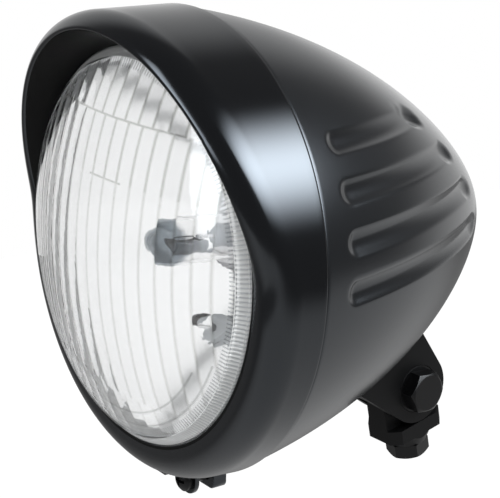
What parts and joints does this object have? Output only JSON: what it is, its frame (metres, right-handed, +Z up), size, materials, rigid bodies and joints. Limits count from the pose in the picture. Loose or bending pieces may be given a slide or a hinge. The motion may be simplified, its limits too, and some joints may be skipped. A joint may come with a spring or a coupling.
{
  "type": "motorcycle headlight",
  "caption": "Bottom-mounted motorcycle headlight: round clear lens in a hooded black ring, ribbed egg-shaped bucket, and a leaning foot block on a tilt bolt.",
  "frame": {"origin": "centre of the foot's clamping face, where the bike's bracket is gripped above the stem bolt's head", "axes": "+Z up, -Y the way the lamp shines, x = 0 the mirror plane; the stem leans 13 degrees back from the lamp's vertical, as pictured"},
  "size_m": [0.1664, 0.1791, 0.1923],
  "materials": {
    "bucket_black": "satin black powder coat on a casting",
    "ring_black": "semi-gloss black paint",
    "bracket_black": "matte black coat",
    "steel_black": "black zinc",
    "clear_glass": "pressed clear glass",
    "bulb_glass": "clear bulb glass",
    "mirror_bowl": "vacuum-coated mirror",
    "bright_steel": "bright zinc",
    "brass_bright": "plain",
    "rubber_black": "matte",
    "coil_grey": "drawn wire"
  },
  "bodies": {
    "mount": {"mount_block": "bracket_black", "stem_bolt": "steel_black"},
    "lamp": {"bucket": "bucket_black", "bucket_lug": "bucket_black", "trim_ring": "ring_black", "ring_tab": "ring_black", "ring_screw": "steel_black", "lens": "clear_glass", "lens_seal": "rubber_black", "reflector": "mirror_bowl", "retaining_clips": "bright_steel", "bulb_base": "bright_steel", "bulb_glass": "bulb_glass", "bulb_core": "bright_steel", "bulb_coils": "coil_grey", "bulb_blades": "brass_bright", "bulb_spring": "bright_steel", "bulb_boot": "rubber_black", "parking_holder": "rubber_black", "parking_bulb": "bulb_glass", "saddle": "bracket_black", "saddle_pad": "rubber_black", "backing_plate": "bright_steel", "saddle_screws": "bright_steel", "cable_grommet": "rubber_black", "pivot_bolt": "steel_black", "pivot_washers": "steel_black", "pivot_nut": "steel_black"}
  },
  "joints": [
    {"name": "lamp_tilt", "type": "hinge", "parent": "mount", "child": "lamp", "pos_m": [0, -0.00619, 0.02679], "axis": [1, 0, 0], "range_deg": [-15, 30]}
  ]
}
